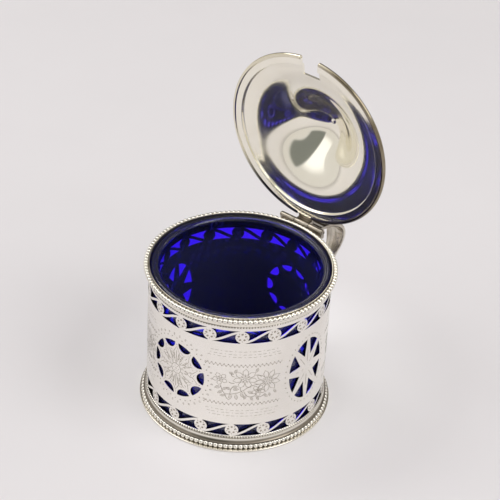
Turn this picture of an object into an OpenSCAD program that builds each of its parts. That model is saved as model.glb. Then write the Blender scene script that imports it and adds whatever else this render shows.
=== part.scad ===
// Mustard pot: pierced drum, strap handle, hinged dome lid and a glass liner that lifts out.
// Millimetres. Origin at the middle of the underside, +Z up, spoon notch at -Y, handle and hinge at +Y.

/* [Drum] */
// Outside diameter of the drum
drum_d = 65; // [50:0.5:80]
// Thickness of the drum's sheet
drum_t = 0.9; // [0.6:0.05:1.5]
// Height of the rim above the table
rim_z = 57.5; // [50:0.5:75]
// Thickness of the base plate
base_t = 0.7; // [0.5:0.1:1.5]
// How far the base plate stands out past the foot's beads
base_edge = 0.55; // [0.2:0.05:1.5]

/* [Pierced bands] */
// Bays in each band
bays = 18; // [12:1:24]
// Height of the openings
band_h = 5.2; // [3:0.1:7]
// Middle of the upper band below the rim
upper_drop = 8.1; // [7:0.1:12]
// Middle of the lower band above the table
lower_z = 8.3; // [8:0.1:12]
// Turn of the upper band's rosettes from the front
upper_turn = 0.3; // [-10:0.1:10]
// Turn of the lower band's rosettes from the front
lower_turn = -3.3; // [-10:0.1:10]
// Diameter of a rosette
rosette_d = 4.8; // [3:0.1:6]
// Width of the neck above and below a rosette
neck_w = 1.4; // [0.8:0.1:2.5]
// Width of the curved bar in a bay
bar_w = 0.9; // [0.6:0.05:1.5]
// Rise of the curved bar to each side of its middle
bar_rise = 2.2; // [1:0.1:3]

/* [Pierced medallions] */
// Turn of the medallions from the front
medal_turn = -2.6; // [-20:0.1:20]
// Radius of the flower medallion
flower_r = 11.4; // [8:0.1:13]
// Petal openings in the flower
petals = 10; // [6:1:12]
// Radius of a petal opening
petal_r = 2.75; // [1.5:0.05:3]
// Half width of the star medallion
star_x = 8.3; // [6:0.1:11]
// Half height of the star medallion
star_y = 12.8; // [8:0.1:14]
// Rays in the star
rays = 8; // [6:1:10]
// Angle of the rib between two rays
ray_rib = 10; // [6:1:16]
// Where a ray's point lies on the way out from the middle
ray_tip = 0.46; // [0.3:0.02:0.7]

/* [Foot] */
// Beads round the foot
foot_beads = 118; // [80:1:140]
// Room between the foot's beads and the drum
foot_bead_air = 0.1; // [0.02:0.01:0.4]
// Height of the cove moulding
cove_h = 1.9; // [1:0.1:3]
// How far the cove stands out at its bottom
cove_out = 1.2; // [0.8:0.1:2]
// How far the cove stands out at its top
cove_lip = 0.35; // [0.2:0.05:0.8]

/* [Rim] */
// Beads round the rim
rim_beads = 121; // [90:1:160]
// Thickness of the rim's wall behind the beads
rim_wall = 0.3; // [0.2:0.05:0.6]
// Room between the beads and what they lie against
bead_air = 0.03; // [0.01:0.01:0.1]
// Height of the rim band
band_ring_h = 3.35; // [3:0.05:6]
// How far the rim band stands out past the drum
band_ring_out = 0.5; // [0.4:0.05:1.2]
// Depth of the liner's seat below the rim
seat_drop = 2.2; // [1.5:0.1:3]
// How far the rim band laps in over the drum's top edge
rim_lap = 0.25; // [0.1:0.05:0.4]
// Diameter of the milled wires
milled_d = 1; // [0.5:0.05:1.2]
// Bead diameter as a multiple of the pitch, so that each runs into the next
bead_run = 1.05; // [1.01:0.01:1.1]

/* [Liner] */
// Room between the lip and the rim band
lip_air = 0.25; // [0.1:0.05:0.6]
// Room between the liner's side and the drum
side_air = 0.35; // [0.2:0.05:1]
// Room under the liner
floor_air = 0.8; // [0.3:0.1:0.9]
// Thickness of the glass at the lip
lip_w = 3.2; // [2.4:0.1:5]
// Thickness of the side
glass_t = 2.3; // [1.5:0.1:4]
// Thickness of the floor
glass_floor = 4.2; // [2:0.1:8]
// Drop of the lip's top below the rim
lip_drop = 0.2; // [0.1:0.05:0.8]
// Rounding at the bottom of the liner, outside
liner_round = 2.2; // [1:0.1:4]

/* [Lid] */
// Angle at which the lid stands open
lid_open = 86.5; // [0:0.1:86.5]
// How far the lid's sheet reaches out past the drum
lid_out = 0.35; // [0.2:0.05:0.6]
// Thickness of the lid's sheet
lid_t = 0.8; // [0.5:0.05:1.2]
// Gap between the rim and the wire of the closed lid
lid_gap = 0.2; // [0.1:0.05:0.5]
// Width of the flat flange
flange_w = 3.25; // [2.8:0.05:6]
// Height of the step inside the flange
step_h = 1.2; // [0.5:0.1:2]
// Height of the dome above the step
dome_h = 14.8; // [8:0.1:18]
// How far the dome's foot is drawn in from the step
step_soft = 0.5; // [0.2:0.05:1]
// Diameter of the wire round the lid's edge
edge_w = 1.6; // [1.2:0.05:2]
// Width of the spoon notch
notch_w = 7; // [5:0.1:10]
// Depth of the spoon notch from the sheet's edge
notch_l = 7.4; // [6:0.1:12]

/* [Hinge] */
// Outside diameter of the knuckles
knuckle_d = 2.1; // [1.8:0.1:4]
// Diameter of the pin
pin_d = 1; // [0.8:0.1:1.2]
// Length over the three knuckles
hinge_l = 18.8; // [14:0.1:26]
// Gap between two knuckles
knuckle_gap = 0.12; // [0.05:0.01:0.3]
// Radial clearance of the pin
pin_fit = 0.04; // [0.02:0.01:0.1]
// Diameter of the pin's heads
head_d = 1.6; // [1.4:0.1:2]
// Thickness of the pin's heads
head_t = 0.4; // [0.2:0.05:0.8]
// Room between the knuckles and the rim's beads
hinge_air = 0.15; // [0.1:0.01:0.5]
// Height of the lid's underside over the pin
hinge_drop = 1.1; // [0.8:0.05:1.5]
// Room between the lid's knuckle and the bracket
bracket_air = 0.35; // [0.2:0.05:0.6]
// Width of the webs below and above the knuckles
web_w = 1.7; // [1.4:0.1:2]
// Thickness of the lid's leaf
leaf_t = 0.8; // [0.5:0.05:1.2]
// Room between the leaf and the lid's step
leaf_air = 0.3; // [0.2:0.05:1]

/* [Handle] */
// Thickness of the strap
strap_t = 1.6; // [1.2:0.1:2.5]
// Width of the strap at the top
strap_w = 8.6; // [6:0.1:12]
// Width of the strap's narrow lower part
strap_low_w = 4.2; // [3:0.1:6]
// Drop below the rim at which the strap starts to widen
widen_drop = 28.2; // [20:0.1:34]
// Drop below the rim at which the strap has its full width
full_drop = 12.2; // [8:0.1:18]
// How far the strap's outer face reaches from the drum
handle_out = 26.8; // [20:0.1:32]
// Drop below the rim of the strap's outermost point
handle_drop = 15.9; // [12:0.1:20]
// How far the bow leans out below its middle
strap_lean = 3; // [0:0.1:6]
// Gap between the strap's upper end and the rim band
strap_air = 0.8; // [0.3:0.1:1.5]
// Diameter of the lower pad
pad_d = 5.4; // [4:0.1:6]
// Thickness of the lower pad
pad_t = 0.9; // [0.5:0.1:2]
// Sheet left between the lower band and the pad
pad_above = 0.6; // [0.2:0.1:2]

/* [Finial] */
// Height of the finial
finial_h = 8; // [6:0.1:12]
// Diameter of the finial's bowl
finial_d = 5; // [4:0.1:7]
// Diameter of the rivet's peg
peg_d = 1.4; // [1:0.1:1.8]
// Diameter of the rivet's head
rivet_d = 2.6; // [2:0.1:3]
// Depth of the peg in the finial
peg_l = 2.2; // [1.5:0.1:3]
// Thickness of the rivet's head
rivet_t = 0.5; // [0.3:0.05:0.8]
// Room round the rivet's head on the dome's flat spot
rivet_edge = 0.3; // [0.1:0.05:0.8]
// Wall round the peg in the finial's neck
neck_wall = 0.3; // [0.2:0.05:0.8]

/* [Hidden] */
$fn = 96;
drum_r = drum_d/2;
drum_in = drum_r - drum_t;
seat_z = rim_z - seat_drop;
band_bottom = rim_z - band_ring_h;
band_r = drum_r + band_ring_out;
pitch = PI*drum_d/bays;
foot_bead_r = (drum_r + foot_bead_air)/(1 - bead_run*sin(180/foot_beads));
foot_bead_d = bead_run*2*foot_bead_r*sin(180/foot_beads);
base_r = foot_bead_r + foot_bead_d/2 + base_edge;
cove_z = base_t + foot_bead_d + bead_air;
medal_z = (rim_z - upper_drop + lower_z)/2;
rim_in = drum_r - rim_lap;
bead_in = rim_in + rim_wall;
rim_bead_r = (bead_in + bead_air)/(1 - bead_run*sin(180/rim_beads));
rim_bead_d = bead_run*2*rim_bead_r*sin(180/rim_beads);
lip_r = rim_in - lip_air;
lip_top = rim_z - lip_drop;
mouth_r = lip_r - lip_w;
liner_r = drum_in - side_air;
liner_z = base_t + floor_air;
cup_r = liner_r - glass_t;
cup_z = liner_z + glass_floor;
lid_r = drum_r + lid_out;
lid_z = rim_z + lid_gap + (edge_w - lid_t)/2;
step_r = lid_r - flange_w;
flange_z = lid_z + lid_t;
dome_z = lid_z + step_h + dome_h;
dome_flat = rivet_d + 2*rivet_edge;
hinge_y = rim_bead_r + rim_bead_d/2 + hinge_air + knuckle_d/2;
hinge_z = lid_z - hinge_drop;
bracket_top = hinge_z - knuckle_d/2 - bracket_air;
bracket_back = hinge_y + knuckle_d/2;
knuckle_l = (hinge_l - 2*knuckle_gap)/3;
side_x = hinge_l/2 - knuckle_l;
bore_d = pin_d + 2*pin_fit;
pad_r = drum_r + pad_t;
pad_z = lower_z + band_h/2 + pad_above + pad_d/2;
handle_z = rim_z - handle_drop;
strap_z = band_bottom - strap_t/2;
cut = 1;

// Point on a cubic curve through four control points.
function cubic(p, t) = pow(1 - t, 3)*p[0] + 3*pow(1 - t, 2)*t*p[1]
    + 3*(1 - t)*t*t*p[2] + pow(t, 3)*p[3];
// The curve as a list of points.
function curve(p, n) = [for (i = [0:n]) cubic(p, i/n)];
// Unit normal to the left of a line of points at point i.
function normal(q, i) = let (a = q[max(i - 1, 0)], b = q[min(i + 1, len(q) - 1)], d = b - a)
    [-d[1], d[0]]/norm(d);
// A line of points moved sideways by a distance.
function aside(q, s) = [for (i = [0:len(q) - 1]) q[i] + s*normal(q, i)];
// A list in the other order.
function back(q) = [for (i = [len(q) - 1:-1:0]) q[i]];
// Smooth step from 0 to 1.
function ease(t) = let (s = min(max(t, 0), 1)) s*s*(3 - 2*s);

// A flat drawing stood up at the front of the drum and pushed through its sheet.
module through_wall(turn, z) {
    rotate([0, 0, turn])
        translate([0, -drum_r*0.82, z])
            rotate([90, 0, 0])
                linear_extrude(height = drum_r*0.22)
                    children();
}

// Ring of beads, each just running into the next, with their poles along the ring.
module bead_ring(count, r, d, z) {
    for (k = [0:count - 1])
        rotate([0, 0, 360*k/count])
            translate([0, -r, z])
                rotate([0, 90, 0])
                    sphere(d = d, $fn = 24);
}

// Half-round wire laid round a cylinder.
module half_wire(r, d, z) {
    rotate_extrude()
        intersection() {
            translate([r, z])
                circle(d = d, $fn = 32);
            translate([r, z - d])
                square([d, 2*d]);
        }
}

// Opening between two rosettes, with the curved bar left standing.
module bay_opening() {
    line = [for (i = [0:10]) let (u = (i/10 - 0.5)*pitch) [u, bar_rise*sin(180*u/pitch)]];
    difference() {
        square([pitch, band_h], center = true);
        for (s = [-1, 1])
            translate([s*pitch/2, 0]) {
                circle(d = rosette_d, $fn = 48);
                square([neck_w, band_h + cut], center = true);
            }
        polygon(concat(aside(line, bar_w/2), back(aside(line, -bar_w/2))));
    }
}

// Petal openings inside the flower's circle.
module flower_openings() {
    intersection() {
        circle(r = flower_r);
        for (k = [0:petals - 1])
            rotate(360*k/petals)
                translate([flower_r, 0])
                    circle(r = petal_r, $fn = 48);
    }
}

// Ray openings inside the star's oval.
module star_openings() {
    step = 360/rays;
    for (k = [0:rays - 1]) {
        from = step*k + ray_rib/2;
        to = step*(k + 1) - ray_rib/2;
        side = [for (i = [0:5]) let (a = from + (to - from)*i/5) [star_x*cos(a), star_y*sin(a)]];
        mid = (from + to)/2;
        polygon(concat(side, [[ray_tip*star_x*cos(mid), ray_tip*star_y*sin(mid)]]));
    }
}

// Turns what belongs to the closed lid up to where it stands open.
module lid_turned() {
    translate([0, hinge_y, hinge_z])
        rotate([-lid_open, 0, 0])
            translate([0, -hinge_y, -hinge_z])
                children();
}

// Bar along the hinge from one x to another.
module along_hinge(from, to, d) {
    translate([from, hinge_y, hinge_z])
        rotate([0, 90, 0])
            cylinder(h = to - from, d = d, $fn = 48);
}

// Block along the hinge from one x to another, between two heights.
module web_block(from, to, low, high) {
    translate([from, hinge_y - web_w/2, low])
        cube([to - from, web_w, high - low]);
}

module base_plate() {
    color("silver")
        cylinder(h = base_t, r = base_r, $fn = 180);
}

module drum_wall() {
    color("gainsboro")
        difference() {
            translate([0, 0, base_t])
                cylinder(h = seat_z - base_t, r = drum_r, $fn = 180);
            translate([0, 0, base_t - cut])
                cylinder(h = seat_z - base_t + 2*cut, r = drum_in, $fn = 180);
            for (k = [0:bays - 1]) {
                through_wall(upper_turn + 360*(k + 0.5)/bays, rim_z - upper_drop)
                    bay_opening();
                through_wall(lower_turn + 360*(k + 0.5)/bays, lower_z)
                    bay_opening();
            }
            for (k = [0, 1]) {
                through_wall(medal_turn + 180*k, medal_z)
                    flower_openings();
                through_wall(medal_turn + 90 + 180*k, medal_z)
                    star_openings();
            }
        }
}

module foot_beading() {
    color("silver")
        bead_ring(foot_beads, foot_bead_r, foot_bead_d, base_t + foot_bead_d/2);
}

module foot_cove() {
    color("lightgray")
        rotate_extrude()
            difference() {
                translate([drum_r, cove_z])
                    square([cove_out, cove_h]);
                translate([drum_r + cove_lip + cove_h, cove_z + cove_h])
                    circle(r = cove_h, $fn = 64);
            }
}

module foot_milled_wire() {
    color("silver")
        half_wire(drum_r, milled_d, cove_z + cove_h + milled_d/2);
}

module rim_band() {
    bead_z = rim_z - rim_bead_d - bead_air;
    color("gainsboro")
        rotate_extrude()
            polygon([[drum_r, band_bottom], [band_r, band_bottom], [band_r, bead_z],
                     [bead_in, bead_z], [bead_in, rim_z], [rim_in, rim_z],
                     [rim_in, seat_z], [drum_r, seat_z]]);
}

module rim_beading() {
    color("silver")
        bead_ring(rim_beads, rim_bead_r, rim_bead_d, rim_z - rim_bead_d/2);
}

module rim_milled_wire() {
    color("silver")
        half_wire(drum_r, milled_d, band_bottom - milled_d/2);
}

module hinge_bracket() {
    color("lightgray")
        difference() {
            translate([-hinge_l/2, 0, band_bottom])
                cube([hinge_l, bracket_back, bracket_top - band_bottom]);
            translate([0, 0, band_bottom - cut])
                cylinder(h = bracket_top - band_bottom + 2*cut, r = band_r, $fn = 180);
        }
}

module hinge_body_knuckles() {
    color("gainsboro")
        for (from = [-hinge_l/2, side_x])
            difference() {
                union() {
                    along_hinge(from, from + knuckle_l, knuckle_d);
                    web_block(from, from + knuckle_l, bracket_top, hinge_z);
                }
                along_hinge(from - cut, from + knuckle_l + cut, bore_d);
            }
}

module hinge_pin() {
    color("dimgray")
        union() {
            along_hinge(-hinge_l/2 - head_t, hinge_l/2 + head_t, pin_d);
            along_hinge(-hinge_l/2 - head_t, -hinge_l/2, head_d);
            along_hinge(hinge_l/2, hinge_l/2 + head_t, head_d);
        }
}

module handle_strap() {
    reach = drum_r + handle_out - strap_t/2;
    start = band_r + strap_air;
    bow = (8*reach - start - drum_r)/6;
    lift = (8*handle_z - strap_z - pad_z - 3*strap_z)/3;
    line = curve([[start, strap_z], [bow - strap_lean, strap_z], [bow + strap_lean, lift],
                  [drum_r - cut, pad_z]], 28);
    levels = [for (i = [0:16]) rim_z - widen_drop + (widen_drop - full_drop)*i/16];
    edge = concat([[strap_low_w/2, 0]],
        [for (i = [0:16]) [(strap_low_w + (strap_w - strap_low_w)*ease(i/16))/2, levels[i]]],
        [[strap_w/2, rim_z]]);
    color("gainsboro")
        difference() {
            intersection() {
                rotate([90, 0, 90])
                    linear_extrude(height = strap_w + 2*cut, center = true)
                        polygon(concat(aside(line, strap_t/2), back(aside(line, -strap_t/2))));
                translate([0, reach + 2*strap_t, 0])
                    rotate([90, 0, 0])
                        linear_extrude(height = reach + 2*strap_t)
                            polygon(concat(edge, back([for (p = edge) [-p[0], p[1]]])));
            }
            translate([0, 0, pad_z - pad_d])
                cylinder(h = 2*pad_d, r = pad_r, $fn = 180);
        }
}

module handle_lower_pad() {
    color("silver")
        intersection() {
            difference() {
                translate([0, 0, pad_z - pad_d])
                    cylinder(h = 2*pad_d, r = pad_r, $fn = 180);
                translate([0, 0, pad_z - pad_d - cut])
                    cylinder(h = 2*pad_d + 2*cut, r = drum_r, $fn = 180);
            }
            translate([0, pad_r + cut, pad_z])
                rotate([90, 0, 0])
                    cylinder(h = pad_r, d = pad_d, $fn = 48);
        }
}

module glass_liner() {
    lip_h = lip_top - seat_z;
    bend = lip_w/2;
    color("mediumblue")
        rotate_extrude($fn = 180)
            difference() {
                union() {
                    translate([0, liner_z])
                        square([liner_r - liner_round, seat_z - liner_z]);
                    translate([0, liner_z + liner_round])
                        square([liner_r, seat_z - liner_z - liner_round]);
                    translate([liner_r - liner_round, liner_z + liner_round])
                        circle(r = liner_round, $fn = 48);
                    translate([mouth_r, seat_z - cut])
                        square([liner_r - mouth_r, lip_h + cut - bend]);
                    intersection() {
                        translate([lip_r - bend, lip_top - bend])
                            circle(r = bend, $fn = 64);
                        translate([mouth_r, seat_z])
                            square([lip_w, lip_h]);
                    }
                }
                translate([-cut, cup_z])
                    square([cup_r + cut, seat_z - cup_z - cut]);
                translate([-cut, seat_z - 2*cut])
                    square([mouth_r + cut, lip_h + 4*cut]);
            }
}

module lid_shell() {
    foot = [step_r - step_soft, lid_z + step_h];
    line = curve([foot, [step_r*0.395, lid_z + step_h + dome_h*0.14],
                  [step_r*0.405, lid_z + step_h + dome_h*0.87], [dome_flat/2, dome_z]], 32);
    inner = concat([[0, dome_z]], back(line), [[step_r, foot[1] - step_soft*0.6], [step_r, lid_z]]);
    outer = concat([[lid_r, lid_z], [lid_r, flange_z], [step_r + lid_t, flange_z],
                    [step_r + lid_t, foot[1] + lid_t*0.6]], aside(line, -lid_t),
                   [[dome_flat/2, dome_z + lid_t], [0, dome_z + lid_t]]);
    color("silver")
        lid_turned()
            difference() {
                rotate_extrude($fn = 180)
                    polygon(concat(inner, outer));
                translate([-notch_w/2, -lid_r - cut, lid_z - cut])
                    cube([notch_w, notch_l + cut, step_h + dome_h + lid_t + 2*cut]);
                translate([0, 0, dome_z - cut])
                    cylinder(h = lid_t + 2*cut, d = peg_d, $fn = 32);
            }
}

module lid_edge_wire() {
    color("gainsboro")
        lid_turned()
            difference() {
                rotate_extrude($fn = 180)
                    difference() {
                        translate([lid_r, lid_z + lid_t/2])
                            circle(d = edge_w, $fn = 32);
                        translate([lid_r - edge_w, lid_z])
                            square([edge_w, lid_t]);
                    }
                translate([-notch_w/2, -lid_r - edge_w, lid_z - edge_w])
                    cube([notch_w, notch_l + edge_w, 3*edge_w]);
                translate([-knuckle_l/2, 0, lid_z - edge_w])
                    cube([knuckle_l, lid_r + edge_w, 3*edge_w]);
            }
}

module hinge_lid_leaf() {
    from = step_r + lid_t + leaf_air;
    color("lightgray")
        lid_turned()
            translate([-knuckle_l/2, from, flange_z])
                cube([knuckle_l, hinge_y + web_w/2 - from, leaf_t]);
}

module hinge_lid_knuckle() {
    color("gainsboro")
        lid_turned()
            difference() {
                union() {
                    along_hinge(-knuckle_l/2, knuckle_l/2, knuckle_d);
                    web_block(-knuckle_l/2, knuckle_l/2, hinge_z, flange_z);
                }
                along_hinge(-knuckle_l/2 - cut, knuckle_l/2 + cut, bore_d);
            }
}

module finial() {
    top = finial_h;
    bowl = finial_d/2;
    foot_r = dome_flat/2;
    neck_r = peg_d/2 + neck_wall;
    color("gainsboro")
        lid_turned()
            translate([0, 0, dome_z + lid_t])
                difference() {
                    rotate_extrude($fn = 64)
                        polygon(concat([[0, 0], [foot_r, 0], [foot_r, 0.4]],
                            curve([[foot_r, 0.4], [neck_r, top*0.1], [neck_r, top*0.22],
                                   [bowl*0.62, top*0.3]], 8),
                            curve([[bowl*0.62, top*0.3], [bowl*1.1, top*0.42], [bowl*1.1, top*0.62],
                                   [bowl*0.6, top*0.74]], 12),
                            curve([[bowl*0.6, top*0.74], [bowl*0.25, top*0.8], [bowl*0.25, top*0.84],
                                   [bowl*0.35, top*0.88]], 6),
                            curve([[bowl*0.35, top*0.88], [bowl*0.45, top*0.95], [bowl*0.25, top],
                                   [0, top]], 8)));
                    translate([0, 0, -cut])
                        cylinder(h = peg_l + cut, d = peg_d, $fn = 32);
                }
}

module finial_rivet() {
    color("dimgray")
        lid_turned()
            union() {
                translate([0, 0, dome_z - rivet_t])
                    cylinder(h = rivet_t + lid_t + peg_l, d = peg_d, $fn = 32);
                translate([0, 0, dome_z - rivet_t])
                    cylinder(h = rivet_t, d = rivet_d, $fn = 32);
            }
}

base_plate();
drum_wall();
foot_beading();
foot_cove();
foot_milled_wire();
rim_band();
rim_beading();
rim_milled_wire();
hinge_bracket();
hinge_body_knuckles();
hinge_pin();
handle_strap();
handle_lower_pad();
glass_liner();
lid_shell();
lid_edge_wire();
hinge_lid_leaf();
hinge_lid_knuckle();
finial();
finial_rivet();
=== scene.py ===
# Silver mustard pot with a blue glass liner: the looks, in metres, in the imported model's frame.
import math

import bmesh
import bpy
from mathutils import Matrix, Vector


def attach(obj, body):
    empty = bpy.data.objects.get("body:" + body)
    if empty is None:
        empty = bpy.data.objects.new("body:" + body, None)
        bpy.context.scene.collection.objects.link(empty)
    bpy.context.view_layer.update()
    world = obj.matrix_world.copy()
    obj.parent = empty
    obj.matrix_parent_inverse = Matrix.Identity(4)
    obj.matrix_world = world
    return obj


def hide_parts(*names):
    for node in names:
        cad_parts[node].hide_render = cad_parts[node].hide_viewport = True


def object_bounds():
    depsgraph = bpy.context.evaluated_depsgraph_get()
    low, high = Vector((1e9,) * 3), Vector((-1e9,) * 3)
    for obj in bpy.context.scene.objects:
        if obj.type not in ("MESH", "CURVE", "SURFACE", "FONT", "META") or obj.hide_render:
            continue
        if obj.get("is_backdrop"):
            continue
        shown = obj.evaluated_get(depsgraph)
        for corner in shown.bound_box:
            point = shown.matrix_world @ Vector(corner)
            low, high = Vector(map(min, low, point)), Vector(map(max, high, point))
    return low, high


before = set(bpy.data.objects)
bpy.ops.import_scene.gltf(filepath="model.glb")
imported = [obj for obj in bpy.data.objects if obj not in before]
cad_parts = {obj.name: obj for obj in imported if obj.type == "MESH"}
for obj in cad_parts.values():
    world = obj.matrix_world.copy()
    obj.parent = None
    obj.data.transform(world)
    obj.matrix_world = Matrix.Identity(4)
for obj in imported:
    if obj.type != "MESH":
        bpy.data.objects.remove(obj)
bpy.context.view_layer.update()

# Base plate: a disc of silver sheet that closes the drum from below and stands flat on the table.
# Its edge stands out past the foot beads as a thin rounded flange. Inside the drum its upper face is painted
# dark, as tarnish and as the shade that falls under the glass.
MM = 0.001
DRUM_IN = 31.6
BASE_T = 0.7
BASE_R = 35.01
BASE_EASE = 0.28


def linear(colour):
    """An sRGB hex colour as linear RGBA."""
    parts = [int(colour[i:i + 2], 16) / 255 for i in (1, 3, 5)]
    return tuple(c / 12.92 if c <= 0.04045 else ((c + 0.055) / 1.055) ** 2.4 for c in parts) + (1.0,)


def add(tree, kind, inputs=None, **settings):
    """One shader node: its settings, and for each input a value or the output that it is linked to."""
    made = tree.nodes.new(kind)
    for name, value in settings.items():
        setattr(made, name, value)
    for name, value in (inputs or {}).items():
        if isinstance(value, bpy.types.NodeSocket):
            tree.links.new(value, made.inputs[name])
        else:
            made.inputs[name].default_value = value
    return made


def new_material(name):
    """An empty node material and its tree."""
    made = bpy.data.materials.new(name)
    made.use_nodes = True
    made.node_tree.nodes.clear()
    return made, made.node_tree


def clouded(tree, size, detail, first, second):
    """Object coordinates, and a colour that drifts between two in clouds of a size in millimetres."""
    at = add(tree, "ShaderNodeTexCoord").outputs["Object"]
    cloud = add(tree, "ShaderNodeTexNoise", {"Vector": at, "Scale": 1 / (size * MM), "Detail": detail})
    drift = add(tree, "ShaderNodeMix", {"Factor": cloud.outputs["Fac"], "A": linear(first),
                                        "B": linear(second)}, data_type="RGBA")
    return at, drift.outputs[2]


def soft(points, radius, cuts=4):
    """A line of points with its inner corners rounded off."""
    line = [Vector(p) for p in points]
    out = [line[0]]
    for before, corner, after in zip(line, line[1:], line[2:]):
        a, b = before - corner, after - corner
        reach = min(radius, a.length * 0.45, b.length * 0.45)
        start, end = corner + a.normalized() * reach, corner + b.normalized() * reach
        for i in range(cuts + 1):
            t = i / cuts
            out.append(start * (1 - t) ** 2 + corner * 2 * t * (1 - t) + end * t * t)
    return out + [line[-1]]


def turned(points, steps=180, closed=True):
    """A profile of (radius, height) in millimetres spun once round the upright axis."""
    bm = bmesh.new()
    line = [bm.verts.new((p[0] * MM, 0, p[1] * MM)) for p in points]
    edges = [bm.edges.new(pair) for pair in zip(line, line[1:])]
    if closed:
        edges.append(bm.edges.new((line[-1], line[0])))
    bmesh.ops.spin(bm, geom=line + edges, cent=(0, 0, 0), axis=(0, 0, 1), angle=2 * math.pi,
                   steps=steps, use_merge=True)
    bmesh.ops.remove_doubles(bm, verts=bm.verts, dist=1e-7)
    bmesh.ops.recalc_face_normals(bm, faces=bm.faces)
    return bm


def make_object(name, bm, materials, sharp=32):
    """Writes a bmesh to a smooth-shaded object that keeps its corners sharp."""
    mesh = bpy.data.meshes.new(name)
    bm.to_mesh(mesh)
    bm.free()
    mesh.shade_smooth()
    mesh.set_sharp_from_angle(angle=math.radians(sharp))
    for material in materials:
        mesh.materials.append(material)
    made = bpy.data.objects.new(name, mesh)
    bpy.context.scene.collection.objects.link(made)
    return made


# Polished sterling silver, buffed by hand: bright and slightly warm, with soft cloudy patina about 6 mm
# across, hairline polishing marks, and grey in its hollows, as tarnish and painted shade.
polished_silver, tree = new_material("polished_sterling_silver")
at, patina = clouded(tree, 6, 4.0, "#F8F4EA", "#EEE8DB")
hollow = add(tree, "ShaderNodeAmbientOcclusion", {"Distance": 0.9 * MM}, samples=6)
reach = add(tree, "ShaderNodeMapRange", {"Value": hollow.outputs["AO"], "From Min": 0.15, "From Max": 0.75})
colour = add(tree, "ShaderNodeMix", {"Factor": reach.outputs["Result"], "A": linear("#C6C1B8"),
                                     "B": patina}, data_type="RGBA")
buffing = add(tree, "ShaderNodeMapping", {"Vector": at, "Scale": (1, 1, 9)})
hairs = add(tree, "ShaderNodeTexNoise", {"Vector": buffing.outputs["Vector"], "Scale": 1 / (1.2 * MM),
                                         "Detail": 3.0})
sheen = add(tree, "ShaderNodeMapRange", {"Value": hairs.outputs["Fac"], "To Min": 0.06, "To Max": 0.15})
metal = add(tree, "ShaderNodeBsdfPrincipled", {"Base Color": colour.outputs[2], "Metallic": 1.0,
                                               "Roughness": sheen.outputs["Result"]})
add(tree, "ShaderNodeOutputMaterial", {"Surface": metal.outputs["BSDF"]})

# Unpolished silver inside the drum: matt and nearly black, as sulphide tarnish and as painted shade of the
# closed inside, in blotches about 4 mm across.
dark_silver, tree = new_material("tarnish_and_painted_shade_inside")
_, colour = clouded(tree, 4, 3.0, "#4A4644", "#645F5C")
metal = add(tree, "ShaderNodeBsdfPrincipled", {"Base Color": colour, "Metallic": 0.6, "Roughness": 0.55})
add(tree, "ShaderNodeOutputMaterial", {"Surface": metal.outputs["BSDF"]})

edge = soft([(DRUM_IN, 0), (BASE_R, 0), (BASE_R, BASE_T), (DRUM_IN, BASE_T)], BASE_EASE)
bm = turned([(0, 0), *edge, (0, BASE_T)])
for face in bm.faces:
    middle = face.calc_center_median()
    if math.hypot(middle.x, middle.y) < DRUM_IN * MM and middle.z > BASE_T / 2 * MM:
        face.material_index = 1
base = make_object("turned_base", bm, [polished_silver, dark_silver])
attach(base, "pot")
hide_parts("base_plate")

# Drum wall: one upright cylinder of sheet, saw-pierced with two bands and four medallions. The packed
# solid holds every opening, so it is kept, and only its silver is made here.
DRUM_R = 32.5
SKIN_IN = 32.2
SKIN_OUT = 32.42

# Pierced sheet: bright and softly worn outside, with patina in clouds 5 mm across and faint dents of the
# planishing hammer, and greyer in its hollows and by the trims as tarnish and painted shade. The sawn edges
# and the inside, told by their radius, are painted dark, as tarnish and as the shade inside the drum.
worn_silver, tree = new_material("pierced_sterling_sheet")
at, patina = clouded(tree, 5, 4.0, "#FCF9F4", "#F5F1E9")
hollow = add(tree, "ShaderNodeAmbientOcclusion", {"Distance": 0.7 * MM}, samples=6)
reach = add(tree, "ShaderNodeMapRange", {"Value": hollow.outputs["AO"], "From Min": 0.1, "From Max": 0.6})
outside = add(tree, "ShaderNodeMix", {"Factor": reach.outputs["Result"], "A": linear("#7E7464"),
                                      "B": patina}, data_type="RGBA")
level = add(tree, "ShaderNodeVectorMath", {0: at, 1: (1.0, 1.0, 0.0)}, operation="MULTIPLY")
radius = add(tree, "ShaderNodeVectorMath", {0: level.outputs["Vector"]}, operation="LENGTH")
skin = add(tree, "ShaderNodeMapRange", {"Value": radius.outputs["Value"], "From Min": SKIN_IN * MM,
                                        "From Max": SKIN_OUT * MM})
colour = add(tree, "ShaderNodeMix", {"Factor": skin.outputs["Result"], "A": linear("#393533"),
                                     "B": outside.outputs[2]}, data_type="RGBA")
dents = add(tree, "ShaderNodeTexNoise", {"Vector": at, "Scale": 1 / (2.4 * MM), "Detail": 2.0})
planish = add(tree, "ShaderNodeBump", {"Height": dents.outputs["Fac"], "Strength": 0.05,
                                       "Distance": 0.2 * MM})
sheen = add(tree, "ShaderNodeMapRange", {"Value": dents.outputs["Fac"], "To Min": 0.16, "To Max": 0.3})
metal = add(tree, "ShaderNodeBsdfPrincipled", {"Base Color": colour.outputs[2], "Metallic": 1.0,
                                               "Roughness": sheen.outputs["Result"],
                                               "Normal": planish.outputs["Normal"]})
add(tree, "ShaderNodeOutputMaterial", {"Surface": metal.outputs["BSDF"]})
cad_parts["drum_wall"].material_slots[0].material = worn_silver

# Engraving on the drum: cuts of a graver, about a fifth of a millimetre wide. Sprigs of flowers fill
# the four panels between wriggled borders, pricked dots ring the medallions, and pricks and short cuts
# mark the rosettes of the bands.
CUT_R = 0.09
CUT_RISE = 0.12
CUT_LIFT = 0.015
PANEL_TURN = 42.6
MEDAL_TURN = -2.6
MEDAL_Z = 28.85
UPPER_Z = 49.4
LOWER_Z = 8.3
UPPER_TURN = 0.3
LOWER_TURN = -3.3
FADE_FROM = -14
FADE_TO = -25
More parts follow.
